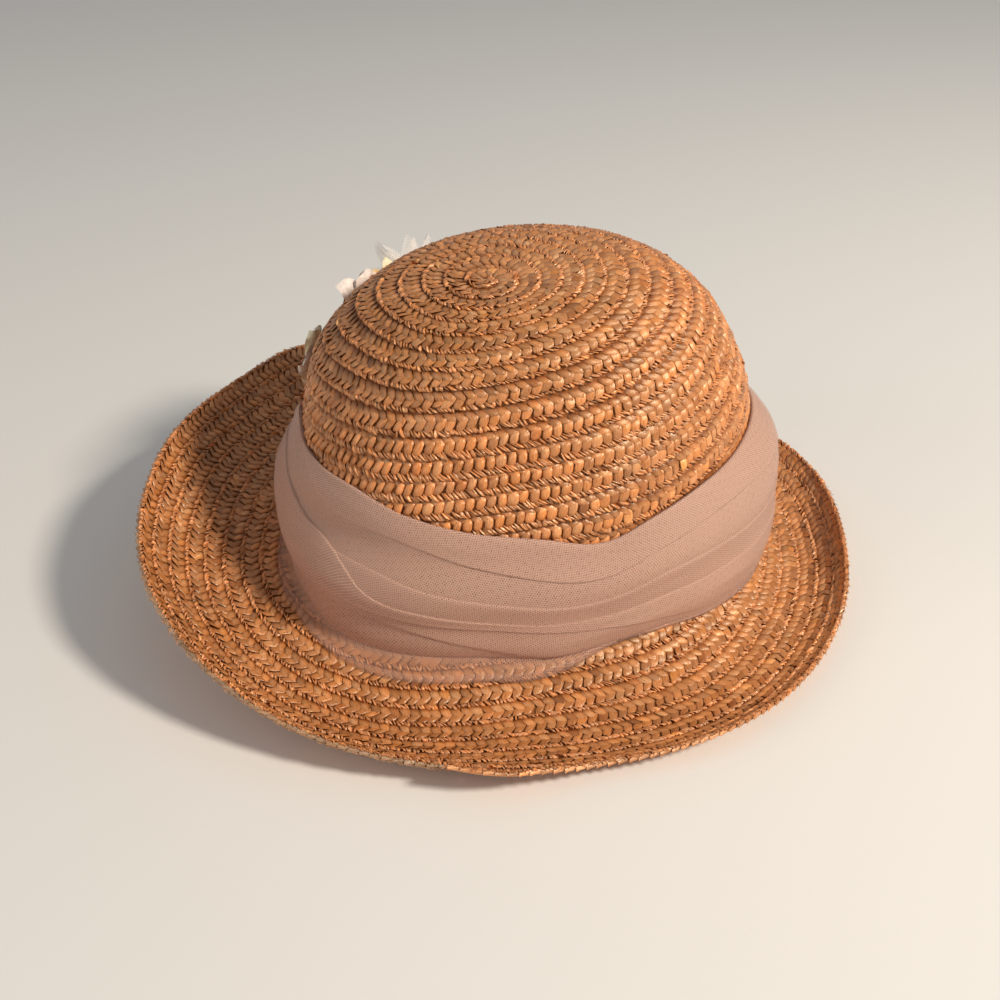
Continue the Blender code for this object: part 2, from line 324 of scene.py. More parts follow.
def make_mesh(name, points, faces, look, tones=None, maps=None):
    """One piece from its points and its four-sided faces, with a colour a point and maps for its material."""
    mesh = bpy.data.meshes.new(name)
    points, faces = np.asarray(points, np.float32), np.asarray(faces, np.int32)
    mesh.vertices.add(len(points))
    mesh.vertices.foreach_set("co", points.ravel())
    mesh.loops.add(faces.size)
    mesh.loops.foreach_set("vertex_index", faces.ravel())
    mesh.polygons.add(len(faces))
    mesh.polygons.foreach_set("loop_start", np.arange(len(faces), dtype=np.int32) * faces.shape[1])
    mesh.update(calc_edges=True)
    mesh.shade_smooth()
    if tones is not None:
        layer = mesh.attributes.new("tone", "FLOAT_COLOR", "POINT")
        layer.data.foreach_set("color", np.asarray(tones, np.float32).ravel())
    for map_name, places in (maps or {}).items():
        layer = mesh.uv_layers.new(name=map_name)
        layer.data.foreach_set("uv", np.asarray(places, np.float32)[faces.ravel()].ravel())
    mesh.validate()
    mesh.materials.append(look)
    return linked(name, mesh)


def closed(grid):
    """A grid with its first column again after the last."""
    return np.concatenate([grid, grid[:, :1]], axis=1)


def grid_faces(rows, columns):
    """Faces of a grid of points, row by row."""
    row, column = np.meshgrid(np.arange(rows - 1), np.arange(columns - 1), indexing="ij")
    first = (row * columns + column).ravel()
    return np.stack([first, first + 1, first + columns + 1, first + columns], -1)


class Gathered:
    """Small sheets gathered into one mesh, each with a cell of the bake map to itself."""

    def __init__(self):
        self.parts, self.points, self.cells = [], 0, 0

    def add(self, points, faces, tones, places, inside, cells=1):
        """Adds sheets of one size; inside is each point's place in its sheet's cell, from 0 to 1."""
        count = points.size // 3
        number = self.cells + np.repeat(np.arange(cells), count // cells)
        self.parts.append((points.reshape(-1, 3), faces + self.points, tones.reshape(-1, 4),
                           places.reshape(-1, 2), inside.reshape(-1, 2), number))
        self.points += count
        self.cells += cells

    def build(self, name, look, map_name, stacked=False):
        """The cells form a square, or with stacked, one column."""
        points, faces, tones, places, inside, number = (np.concatenate(part) for part in zip(*self.parts))
        side = math.ceil(math.sqrt(self.cells))
        across, up = (1, self.cells) if stacked else (side, side)
        bake = (np.stack([number % across, number // across], -1) + inside) / [across, up]
        return make_mesh(name, points, faces, look, tones, {map_name: places, "OFBake": bake})


# Materials
def new_material(name, colour, roughness):
    look = bpy.data.materials.new(name)
    look.use_nodes = True
    shader = look.node_tree.nodes["Principled BSDF"]
    shader.inputs["Base Color"].default_value = (*colour, 1.0)
    shader.inputs["Roughness"].default_value = roughness
    return look, look.node_tree, shader


def set_inputs(tree, node, values):
    """Gives a node's inputs their values; another node's output is linked instead."""
    for name, value in values.items():
        if isinstance(value, bpy.types.NodeSocket):
            tree.links.new(value, node.inputs[name])
        else:
            node.inputs[name].default_value = value


def add_node(tree, kind, values, **settings):
    node = tree.nodes.new("ShaderNode" + kind)
    for name, value in settings.items():
        setattr(node, name, value)
    set_inputs(tree, node, values)
    return node


def multiplied(tree, colour, factor):
    """The output of a node that multiplies two colours."""
    values = {"Factor": 1.0, "A": colour, "B": factor}
    return add_node(tree, "Mix", values, data_type="RGBA", blend_type="MULTIPLY").outputs["Result"]


def mapped(tree, source, old, new, **settings):
    """The output of a node that takes one range of a value to another."""
    values = {0: source, "From Min": old[0], "From Max": old[1], "To Min": new[0], "To Max": new[1]}
    return add_node(tree, "MapRange", values, **settings).outputs[0]


def straw_material():
    """Straw with fibres along each strand, which stain it, roughen it and stand up a little."""
    look, tree, shader = new_material("straw_braid", (0.55, 0.28, 0.10), 0.36)
    tone = add_node(tree, "Attribute", {}, attribute_name="tone")
    place = add_node(tree, "UVMap", {}, uv_map="strand")
    stretched = add_node(tree, "Mapping", {0: place.outputs[0], "Scale": (0.35, 5.0, 1.0)})
    noise = {"Scale": 1.0, "Detail": 3.0, "Vector": stretched.outputs[0]}
    fibre = add_node(tree, "TexNoise", noise).outputs[0]
    stains = {"A": (0.62, 0.47, 0.30, 1.0), "B": (1.30, 1.30, 1.32, 1.0),
              "Factor": mapped(tree, fibre, (0.3, 0.7), (0.0, 1.0))}
    stain = add_node(tree, "Mix", stains, data_type="RGBA")
    bump = add_node(tree, "Bump", {"Strength": 0.5, "Distance": 0.0003, "Height": fibre})
    set_inputs(tree, shader, {
        "Base Color": multiplied(tree, tone.outputs["Color"], stain.outputs["Result"]),
        "Roughness": mapped(tree, fibre, (0.0, 1.0), (0.16, 0.46)),
        "Specular IOR Level": 1.0, "Specular Tint": (1.0, 0.90, 0.72, 1.0), "Normal": bump.outputs[0]})
    return look


def net_material(name, colour, cell):
    """Threads with small holes between them, the holes darkened with painted shade and kept a little opaque;
    cell is the size of a hole and its threads, in mm.
    """
    look, tree, shader = new_material(name, colour, 0.55)
    place = add_node(tree, "UVMap", {}, uv_map="weave")
    across, up, _ = add_node(tree, "SeparateXYZ", {0: place.outputs[0]}).outputs
    veil = add_node(tree, "Attribute", {}, attribute_name="tone")

    def worked_out(operation, *values):
        return add_node(tree, "Math", dict(enumerate(values)), operation=operation).outputs[0]

    wave, slope = 2 * math.pi / cell, 0.577  # the slope sets the holes out in hexagons
    slant = worked_out("MULTIPLY", up, slope)
    ways = [worked_out("MULTIPLY", worked_out(kind, across, slant), wave) for kind in ("ADD", "SUBTRACT")]
    first, second = (worked_out("COSINE", way) for way in ways)
    third = worked_out("COSINE", worked_out("MULTIPLY", up, 2 * slope * wave))
    lattice = worked_out("ADD", worked_out("ADD", first, second), third)
    # the holes keep a little alpha and turn dark: painted shade between the gathered layers
    hole = mapped(tree, lattice, (-0.6, 1.0), (0.84, 0.15), interpolation_type="SMOOTHSTEP")
    hole_shade = mapped(tree, lattice, (-0.8, 1.2), (1.12, 0.38))
    set_inputs(tree, shader, {
        "Base Color": multiplied(tree, (*colour, 1.0), hole_shade),
        "Alpha": worked_out("MULTIPLY", hole, veil.outputs["Fac"]),
        "Sheen Weight": 0.25, "Sheen Roughness": 0.4})
    return look


def petal_material():
    """Thin cloth: fine threads, faint veins, and a colour from each petal's own tone."""
    look, tree, shader = new_material("petal_cloth", (0.75, 0.62, 0.52), 0.65)
    tone = add_node(tree, "Attribute", {}, attribute_name="tone")
    place = add_node(tree, "UVMap", {}, uv_map="weave").outputs[0]
    threads = add_node(tree, "TexWave", {"Scale": 2.2, "Distortion": 0.6, "Vector": place})
    veins = add_node(tree, "TexNoise", {"Scale": 0.5, "Detail": 4.0, "Vector": place})
    shade = mapped(tree, veins.outputs[0], (0.3, 0.7), (0.80, 1.12))
    bump = add_node(tree, "Bump", {"Strength": 0.25, "Distance": 0.0001, "Height": threads.outputs["Color"]})
    set_inputs(tree, shader, {
        "Base Color": multiplied(tree, tone.outputs["Color"], shade), "Normal": bump.outputs[0],
        "Sheen Weight": 0.3, "Sheen Roughness": 0.5})
    return look


STRAW = straw_material()
# the core's dark brown is painted shade in the gaps between the strands
CORE_SHADE = new_material("straw_core", (0.31, 0.100, 0.020), 0.8)[0]
NET = net_material("net", (0.67, 0.42, 0.32), 1.03)
TUFT_NET = net_material("tuft_net", (0.90, 0.86, 0.80), 1.05)
PETAL = petal_material()
FLOOR = new_material("floor", (0.80, 0.80, 0.78), 0.9)[0]


# The straw's strands
class Kind(NamedTuple):
    """A kind of strand. From ahead to half, each is a mean, what curling adds to it and a spread, in mm."""
    along: tuple  # places of its points along it, from -1 to 1
    across: tuple  # and across it
    ahead: tuple  # its middle, on from where its repeat begins
    inward: tuple  # its middle, in from the row's outer edge
    run: tuple  # half its span along the braid
    rise: tuple  # half its span across the braid
    half: tuple  # half its width
    taper: float  # share of its width that its ends lack
    seam: float = 0.0  # how much painted shade darkens it where it meets the next strand
    lit_end: float = 0.0  # how much it brightens from its start to its end: a painted highlight at one end and painted shade at the other
    upright: bool = False  # its width stands up
    under: bool = False  # it faces down


REPEAT = 4.1 * MM  # length of one repeat of the plait
EARLY_REPEATS = 3  # how many lie before the point that the braid's length is counted from
STARTS = (np.arange(-EARLY_REPEATS, int(LENGTHS[-1] / REPEAT)) + 0.5) * REPEAT
CURL_FROM = 235.0  # bearing where the strands curl up most
UPRIGHT_LEAN = 0.45  # how far in an upright strand's edges lie, as a share of half its width
SHADE_TINT = np.array([0.85, 1.25, 1.80])  # painted shade takes more out of the blue than out of the red
STRAW_COLOUR = np.array([0.660, 0.288, 0.108])
PALE_COLOUR = np.array([0.94, 0.52, 0.26])

PLUMP = Kind(along=(-1, -0.8, -0.35, 0.3, 0.75, 1), across=(-1, -0.8, -0.25, 0.3, 0.8, 1),
             ahead=(0.5, 0, 0.16), inward=(3.95, 0.75, 0.12), run=(1.15, -0.45, 0.22),
             rise=(2.6, -0.1, 0.18), half=(1.96, -0.12, 0.16), taper=0.42, lit_end=0.30)
POINTED = Kind(along=(-1, -0.7, -0.15, 0.3, 0.6, 1), across=(-1, -0.8, 0, 0.8, 1),
               ahead=(-0.45, 0, 0.14), inward=(6.45, 0.25, 0.16), run=(-1.6, 0.1, 0.2),
               rise=(2.60, -0.25, 0), half=(2.06, -0.08, 0.14), taper=0.62, seam=0.50, lit_end=-0.30)
THIN = Kind(along=(-1, -0.8, -0.1, 1), across=(-1, -0.7, 0.1, 1),
            ahead=(0.5, 0, 0.25), inward=(0.80, 0.55, 0.18), run=(-0.95, -0.6, 0.50),
            rise=(1.15, 0.55, 0.20), half=(0.82, 0, 0.15), taper=0.30)
FOLDED = Kind(along=(-1, -0.5, 0.5, 1), across=(-1, -0.4, 0.4, 1),
              ahead=(1.2, 0, 0.2), inward=(-0.10, 0, 0.10), run=(2.5, 0, 0.2),
              rise=(0.35, 0, 0.10), half=(0.95, 0, 0.1), taper=0.65, upright=True)
UNDER = Kind(along=(-1, 0, 1), across=(-1, -0.75, 0.75, 1),
             ahead=(0, 0, 0.14), inward=(4.8, 0, 0), run=(1.25, 0, 0),
             rise=(2.0, 0, 0), half=(2.12, 0, 0), taper=0.1, under=True)


def tones(n, spread=0.16):
    """A colour for each strand: gold to pinkish tan, a few pale or brown."""
    bright = np.exp(rng.normal(0, spread, n))
    warm = rng.normal(0, 0.06, n)
    warmth = np.stack([1 + 0.5 * warm, 1 + 0 * warm, 1 - 1.4 * warm], -1)
    colours = STRAW_COLOUR[None] * bright[:, None] * warmth
    pale = rng.random(n) < 0.10
    colours[pale] = colours[pale] * 0.6 + PALE_COLOUR * 0.4
    brown = rng.random(n) < 0.06
    colours[brown] *= [0.72, 0.62, 0.52]
    return np.concatenate([np.clip(colours, 0.02, 0.95), np.ones((n, 1))], -1)


def placed(kind, here, curl=0.0):
    """Middle along and in from the edge, half spans and half width of a strand of a kind at each repeat."""
    sizes = []
    for mean, curling, spread in (kind.ahead, kind.inward, kind.run, kind.rise, kind.half):
        size = mean + curling * curl
        if spread:
            size = size + rng.normal(0, spread, len(here))
        sizes.append(np.broadcast_to(size * MM, here.shape))
    return [here + sizes[0], *sizes[1:]]


def shaded(kind, colours, xi, eta):
    """Each strand's colour, browner with painted shade along its edges and at its ends, with painted shade
    where it meets the next strand and a painted highlight towards one end.
    """
    # painted shade along the edges and at the ends, then a painted highlight towards one end and painted
    # shade at the seam
    light = 1 - 0.26 * smooth(0.55, 1.0, eta) - 0.08 * smooth(0.7, 1.0, -eta) - 0.15 * np.abs(xi) ** 5
    light = light * (1 + kind.lit_end * (smooth(0.0, 0.8, xi) - 0.5) * (1 - eta ** 2))
    light = (light * (1 - kind.seam * smooth(0.1, 0.55, xi))).reshape(1, -1, 1)
    points = np.broadcast_to(colours[:, None, :], (len(colours), light.size, 4)).copy()
    points[..., :3] *= light ** SHADE_TINT
    return points


def lay(strands, kind, places, profile, colours):
    """Lays small domed patches along the braid. profile(inward, xi, eta) is their height over the straw's
    face, in metres, with xi along a strand and eta across it, both from -1 to 1."""
    middle, inward, run, rise, half = (size[:, None, None] for size in places)
    xi, eta = np.array(kind.along)[None, :, None], np.array(kind.across)[None, None, :]
    side = half * (1 - kind.taper * np.abs(xi) ** 3) * eta
    length, inward = middle + run * xi, inward + rise * xi
    if kind.upright:
        inward = inward + UPRIGHT_LEAN * side * eta
    else:
        length = length + side
    length, inward, height = np.broadcast_arrays(length, inward, profile(inward, xi, eta))
    points = braid_point(length.ravel(), inward.ravel(), height.ravel())
    count, patch = len(middle), grid_faces(len(kind.along), len(kind.across))[:, ::-1 if kind.under else 1]
    faces = (np.arange(count) * length[0].size)[:, None, None] + patch[None]
    start = rng.uniform(0, 50, (count, 1, 1))
    fibres = np.broadcast_arrays(xi * np.hypot(run, rise) / MM + start, side / MM + 1.7 * start)
    inside = np.stack(np.broadcast_arrays(0.5 + 0.42 * xi, 0.5 + 0.42 * eta, length)[:2], -1)
    colours = shaded(kind, colours, xi, eta)
    strands.add(points, faces.reshape(-1, 4), colours, np.stack(fibres, -1), inside, count)


def lie(inward):
    """Each row lies over the next one out, so it stands highest at its outer edge; in mm."""
    return 0.30 - 1.60 * inward / ROW


def fall(eta, deep):
    """A strand's long edges drop away steeply."""
    return -deep * np.maximum(np.abs(eta) - 0.85, 0) / 0.15


def curl_at(turn):
    """How much the strands curl up: most at the left front of the crown's wall."""
    from_front = np.abs((BRAID_END + 360.0 * turn - CURL_FROM + 180.0) % 360.0 - 180.0)
    on_wall = smooth(12.5, 14.5, turn) * (1 - smooth(19.0, 22.0, turn))
    return on_wall * (1 - 0.75 * smooth(35.0, 75.0, from_front))


def tints_at(turn):
    """Factors on the colours of plump and pointed strands, by where their row lies: a painted highlight on
    the plump ones on the wall, painted shade on the pointed ones, most on the wall; the brim and the top
    shift in colour.
    """
    on_wall = (smooth(11.5, 13.5, turn) * (1 - smooth(23.0, 27.0, turn)))[:, None]
    on_brim = 1 - smooth(9.0, 11.0, turn)[:, None]
    on_top = smooth(21.0, 25.0, turn)[:, None]
    both = 1 - on_brim * [0.08, 0.05, 0.04, 0] - on_top * [0.08, 0.0, -0.08, 0]
    # on the wall, lit brightens the plump strands and dim darkens the pointed ones: painted highlight and
    # painted shade
    return (both * (1 + 0.10 * on_wall * [1, 1, 1, 0]),
            both * (np.array([0.96, 0.95, 0.93, 1]) - 0.16 * on_wall * [1, 1.1, 1.2, 0]))


def lay_plump(strands, here, curl, tint):
    """Middle strands, plump, rising inwards as they run on."""
    curled = curl[:, None, None]
    ridge, crease = rng.normal(0, 0.6, curled.shape), rng.uniform(0.2, 1.2, curled.shape)
    lean, tip = rng.normal(0, 0.15, curled.shape), rng.normal(0, 0.20, curled.shape)

    def profile(inward, xi, eta):
        dome = (1 - eta ** 2) * (1 - crease) + (1 - np.abs(eta - 0.5 * ridge) / 1.5) * crease
        notch = (1 - curled) * smooth(0.1, 0.9, eta) * np.exp(-((inward / MM - 4.3) / 0.9) ** 2)
        return (lie(inward) + 0.46 + (0.30 + 0.48 * curled) * dome * (1 - 0.4 * xi ** 2) + 0.20 * curled
                - (0.40 + 0.50 * curled) * xi ** 2 * np.abs(xi) - 0.25 * (1 - curled) * np.maximum(xi, 0) ** 3
                + (0.18 + lean) * eta + tip * xi + fall(eta, 0.18 + 0.3 * curled) - 0.4 * notch) * MM

    lay(strands, PLUMP, placed(PLUMP, here, curl), profile, np.clip(tones(len(here)) * tint, 0, 1))


def lay_pointed(strands, here, curl, tint):
    """Inner strands, running the other way from under the next row to a pointed end over the middle ones."""
    curled = curl[:, None, None]
    ridge, lean = rng.normal(0, 0.4, curled.shape), rng.normal(0, 0.11, curled.shape)

    def profile(inward, xi, eta):
        dome = 1 - np.abs(eta - 0.5 * ridge) ** 1.5 / 1.6
        return (lie(inward) + 0.86 - 0.58 * curled + (0.20 + 0.27 * curled) * dome
                - (0.35 + 0.45 * curled) * np.maximum(-xi, 0) ** 3 - 0.35 * np.maximum(xi, 0)
                + (0.18 + lean) * eta + fall(eta, 0.20 + 0.12 * curled)) * MM

    lay(strands, POINTED, placed(POINTED, here, curl), profile, np.clip(tones(len(here)) * tint, 0, 1))


def lay_thin(strands, here, curl, kind):
    """Thin pale strands along the outer edge, folding back under it; their lighter colour is partly a painted
    highlight along the row's edge.
    """
    lean = rng.normal(0, 0.4, (len(here), 1, 1))
    # lighter than the other strands: partly the straw's own paleness, partly a painted highlight along the
    # row's edge
    pale = tones(len(here), 0.20) * np.array([1.06, 1.10, 1.22, 1.0])

    def profile(inward, xi, eta):
        return (lie(inward) + 0.22 + 0.30 * (1 - np.abs(eta)) - 0.50 * np.maximum(xi, 0) ** 2
                - 0.95 * np.maximum(-xi, 0) ** 5 + lean * eta + fall(eta, 0.35)) * MM

    lay(strands, kind, placed(kind, here, curl), profile, np.clip(pale, 0, 1))


def lay_top(strands, here):
    """The braid's upper face: a plump, a pointed and three thin strands at each repeat."""
    turn = turn_of(here)
    curl = curl_at(turn)
    lit, dim = tints_at(turn)
    lay_plump(strands, here, curl, lit)
    lay_pointed(strands, here, curl, dim)
    for ahead, half in ((0.5, 0.82), (1.9, 0.62), (3.2, 0.72)):
        kind = THIN._replace(ahead=(ahead, 0, 0.25), half=(half, 0, 0.15))
        lay_thin(strands, here, curl, kind)


def lay_edge(strands, here):
    """Strands folding round the hat's own edge, greyer at the front left."""
    plain = tones(len(here))
    greyish = (0.10 + 0.90 * smooth(0.55, 0.9, turn_of(here)))[:, None]
    grey = plain + (plain * [0.50, 0.72, 1.20, 1.0] + [0.04, 0.04, 0.035, 0.0] - plain) * greyish

    def profile(inward, xi, eta):
        return (-0.75 + 0.80 * eta + 0.30 * xi - 0.35 * xi ** 2) * MM

    lay(strands, FOLDED, placed(FOLDED, here), profile, np.clip(grey, 0, 1))


def lay_under(strands, here):
    """The braid's lower face: three flat strands at each repeat."""
    def profile(inward, xi, eta):
        return (-1.70 - 0.30 * (1 - eta ** 2) + 0.45 * np.abs(xi) ** 3 - fall(eta, 0.4)) * MM

    for ahead, inward, run, rise in ((0.0, 4.8, 1.25, 2.0), (1.5, 7.9, -1.6, 1.9), (1.6, 2.0, -1.6, 1.7)):
        kind = UNDER._replace(ahead=(ahead, 0, 0.14), inward=(inward, 0, 0), run=(run, 0, 0),
                              rise=(rise, 0, 0))
        lay(strands, kind, placed(kind, here), profile, tones(len(here)))


def straw_piece(name, first, last, layer):
    """One piece of the braid's face, between two turns."""
    turn = turn_of(STARTS)
    strands = Gathered()
    layer(strands, STARTS[(turn >= first) & (turn < last)])
    if name == "straw_rim":
        lay_edge(strands, STARTS[turn < 1.0])
    return strands.build(name, STRAW, "strand")


def core():
    """The braid's thickness, which shows between its strands, coloured dark brown as painted shade."""
    columns = 200
    on_crown = np.linspace(0, CROWN_RUN - 4 * MM, 44)
    on_brim = CROWN_RUN + np.linspace(-1 * MM, BRIM_WIDTH, 26)
    bearings = np.arange(columns) * 360 / columns
    down, bearing = np.meshgrid(np.concatenate([on_crown, on_brim]), bearings, indexing="ij")
    drawn_in = np.maximum(-STRAY.at("out", length_at(bearing, 0) / MM), 0) * MM
    width = brim_width(bearing) - 1.2 * MM - drawn_in
    down = np.where(down > CROWN_RUN, CROWN_RUN + (down - CROWN_RUN) * width / BRIM_WIDTH, down)
    face, normal = straw(down, bearing), straw_normal(down, bearing)
    points = [(face + normal * lift).reshape(-1, 3) for lift in (-0.85 * MM, -1.40 * MM)]
    count = down.size
    row, column = np.meshgrid(np.arange(len(down) - 1), np.arange(columns), indexing="ij")
    here, beside = row * columns + column, row * columns + (column + 1) % columns
    upper = np.stack([here, here + columns, beside + columns, beside], -1).reshape(-1, 4)
    here, beside = here[-1] + columns, beside[-1] + columns
    edge = np.stack([here, here + count, beside + count, beside], -1)
    faces = np.concatenate([upper, upper[:, ::-1] + count, edge])
    return make_mesh("straw_core", np.concatenate(points), faces, CORE_SHADE)


# Loose ends
def tube(path, radius, around=5):
    """A tube round a path that thins towards its end, as rings of points that close."""
    ahead = unit(np.gradient(path, axis=0))
    across = unit(np.cross(ahead, [0.3, 0.2, 0.93]))
    above = np.cross(across, ahead)
    angle = (np.arange(around) * 2 * math.pi / around)[None, :, None]
    size = radius * (1 - 0.7 * np.linspace(0, 1, len(path)) ** 2)[:, None, None]
    return closed(path[:, None] + size * (np.cos(angle) * across[:, None] + np.sin(angle) * above[:, None]))


def fibre(*sizes):
    """Radius and path of a fibre. In mm: its radius; its start along the braid, in from the edge and off the
    straw; its steps on those three ways; and how far it bends as it goes."""
    radius, length, inward, height, on, further_in, up, bend = (size * MM for size in sizes)
    t = np.linspace(0, 1, 7)
    arc = bend * t * (1 - t)
    inward, height = inward + further_in * t + arc, height + up * t ** 1.5 + 0.5 * arc
    return radius, braid_point(length + on * t, inward, height)


def frayed_end():
    """The braid's frayed end, curling back on itself."""
    tail = -EARLY_REPEATS * REPEAT / MM
    return [fibre(rng.uniform(0.18, 0.42), tail + rng.uniform(0, 3), rng.uniform(0.2, 7.0),
                  rng.uniform(-1.2, 0.3), rng.uniform(-3.0, -0.8), rng.normal(0.6, 1.0),
                  rng.uniform(-1.5, 0.0), rng.normal(0, 1.2))
            for _ in range(22)]


def stray_threads():
    """Threads that stand out past the edge: a bearing, the steps along, out and up, and a bend for each."""
    threads = ((265.0, 5.5, -3.6, -0.5, 1.6), (266.5, 4.0, -2.6, 0.4, -1.2), (283.0, 5.0, -2.4, 0.2, 1.2),
               (285.0, -3.0, -2.0, 0.3, 1.0), (240.0, 3.0, -1.8, 0.4, 0.8), (303.0, 3.0, -1.5, 0.3, 0.9),
               (338.0, 2.5, -1.4, 0.6, 0.7), (204.0, 3.0, -1.5, 0.4, 0.9), (182.0, -2.5, -1.4, 0.4, 0.8))
    return [fibre(0.16, length_at(bearing, 0) / MM, 0.4, -0.1, *steps) for bearing, *steps in threads]


def rim_fibres():
    """Fine fibres under the rim, from the left round to the braid's end."""
    return [fibre(0.24, length_at(bearing, 0) / MM + rng.normal(0, 0.6), 1.0 + rng.random(),
                  -1.2 - 0.6 * rng.random(), rng.normal(2.5, 1.5), -1.4 - 1.1 * rng.random(),
                  -0.4 - 0.8 * rng.random(), rng.normal(0, 1.0))
            for bearing in np.arange(205.0, 262.0, 0.35)]


def short_ends():
    """Short ends here and there on the crown and the brim."""
    return [fibre(0.14, rng.uniform(0, LENGTHS[-1] / MM), rng.uniform(0, 1.5), 0.5, rng.normal(0, 2.0),
                  rng.normal(-0.5, 1.2), 0.5 + 0.6 * rng.random(), rng.normal(0, 1.0))
            for _ in range(60)]


def loose_ends():
    """All the fibres as one piece; those under the rim are greyer and paler."""
    bright = frayed_end() + stray_threads()
    greyish = rim_fibres()
    fibres = bright + greyish + short_ends()
    colours = tones(len(fibres))
    first, last = len(bright), len(bright) + len(greyish)
    colours[first:last, :3] = 0.45 * colours[first:last, :3] + [0.26, 0.21, 0.16]
    gathered = Gathered()
    for k, ((radius, path), colour) in enumerate(zip(fibres, colours)):
        grid = tube(path, radius)
        rows, columns = grid.shape[:2]
        u, v = np.meshgrid(np.linspace(0, 1, rows), np.linspace(0, 1, columns), indexing="ij")
        gathered.add(grid, grid_faces(rows, columns)[:, ::-1], np.broadcast_to(colour, (rows, columns, 4)),
                     np.stack([u * 10, v * 2 + k], -1), np.stack([0.08 + 0.84 * u, 0.08 + 0.84 * v], -1))
    return gathered.build("straw_ends", STRAW, "strand")


STRAW_PIECES = [straw_piece(*row) for row in (
    ("straw_rim", 0.0, RIM_TURN, lay_top), ("straw_brim", RIM_TURN, FOOT_TURN, lay_top),
    ("straw_band_rows", FOOT_TURN, BAND_TURN, lay_top), ("straw_crown", BAND_TURN, LAST_TURN, lay_top),
    ("straw_brim_under", 0.0, FOOT_TURN, lay_under), ("straw_crown_under", FOOT_TURN, LAST_TURN, lay_under))]
for piece in [*STRAW_PIECES, core(), loose_ends()]:
    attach(piece, "root")
    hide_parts("crown", "brim")


# The net band
BAND = Table("bearing top reach swell drift", (
    (0, 0.790, 0.45, 0.85, 0.70), (20, 0.790, 0.42, 0.75, 0.80), (45, 0.790, 0.36, 0.55, 0.90),
    (90, 0.790, 0.30, 0.45, 1.00), (130, 0.785, 0.28, 0.45, 1.00), (155, 0.750, 0.26, 0.50, 1.00),
    (170, 0.710, 0.25, 0.54, 0.60), (180, 0.670, 0.22, 0.56, 0.20), (190, 0.650, 0.17, 0.58, 0.10),
    (202, 0.668, 0.13, 0.56, 0.00), (215, 0.680, 0.15, 0.46, 0.05), (230, 0.690, 0.21, 0.36, 0.12),
    (245, 0.733, 0.22, 0.32, 0.20), (260, 0.780, 0.25, 0.32, 0.30), (275, 0.815, 0.30, 0.34, 0.38),
    (290, 0.853, 0.27, 0.36, 0.45), (302, 0.828, 0.28, 0.40, 0.50), (316, 0.812, 0.35, 0.52, 0.56),
    (332, 0.809, 0.43, 0.70, 0.62), (346, 0.798, 0.46, 0.82, 0.66)), around=True)
NET_SWELL = 0.0160  # how far the gathers stand off the straw
NET_PLEAT = 0.0010  # height of the long pleats
NET_THICK = 0.0012  # the gathered layers pressed together
NET_COLUMNS, NET_ROWS = 540, 26
TURN_BACK = 0.035  # share of a layer that its edges turn back under it
WEAVE_TURN, WEAVE_STEP = -20.0, 17.0  # how the first layer's weave is turned, and each further one's

def ends(*rows):
    """Where a layer begins and ends, as shares of the band from its upper edge."""
    return Table("bearing begin end", rows, around=True)


LAYERS = {
    "full": ends((0, 0, 1), (180, 0, 1)),
    "hem": ends(
        (0, 0, 0.30), (90, 0, 0.35), (150, 0, 0.22), (185, 0, 0.06), (205, 0, 0.02), (215, 0, 0.12),
        (226, 0, 0.21), (243, 0, 0.18), (260, 0, 0.26), (280, 0, 0.32), (300, 0, 0.26), (330, 0, 0.20)),
    "lower": ends(
        (0, 0.45, 1), (90, 0.50, 1), (150, 0.40, 0.9), (185, 0.22, 0.75), (205, 0.32, 0.68),
        (215, 0.36, 0.74), (223, 0.41, 0.72), (238, 0.42, 0.74), (247, 0.45, 0.80), (262, 0.48, 0.90),
        (280, 0.50, 0.97), (300, 0.44, 0.99), (330, 0.42, 1.0)),
    "fan": ends(
        (0, 0.62, 0.95), (90, 0.6, 0.9), (150, 0.30, 0.60), (185, 0.20, 0.50), (205, 0.30, 0.60),
        (214, 0.36, 0.66), (223, 0.39, 0.68), (229, 0.45, 0.66), (235, 0.55, 0.67), (250, 0.62, 0.70),
        (280, 0.66, 0.74), (300, 0.66, 0.86), (330, 0.62, 0.95))}

# Each layer's table, how high it lies and how deep its wrinkles are, in mm; the first one ends loosely
LAID = (("full", 0.10, 0.25), ("full", 0.65, 0.35), ("hem", 1.25, 0.20), ("lower", 1.25, 0.35),
        ("fan", 1.85, 0.30))
# How far the loosest layer reaches over the brim, as a share of BRIM_WIDTH
LOOSE = Table("bearing reach", (
    (0, 0.50), (45, 0.40), (90, 0.34), (155, 0.29), (190, 0.21), (215, 0.24), (233, 0.325), (245, 0.35),
    (260, 0.365), (270, 0.39), (279, 0.36), (287, 0.30), (302, 0.30), (316, 0.37), (332, 0.45), (346, 0.49)),
    around=True)


def lifted(face, along, bearing, lift):
    """A point off a face, square to it."""
    down = face(along + 1 * MM, bearing) - face(along - 1 * MM, bearing)
    across = face(along, bearing + 0.5) - face(along, bearing - 0.5)
    return face(along, bearing) + lift * unit(np.cross(down, across))


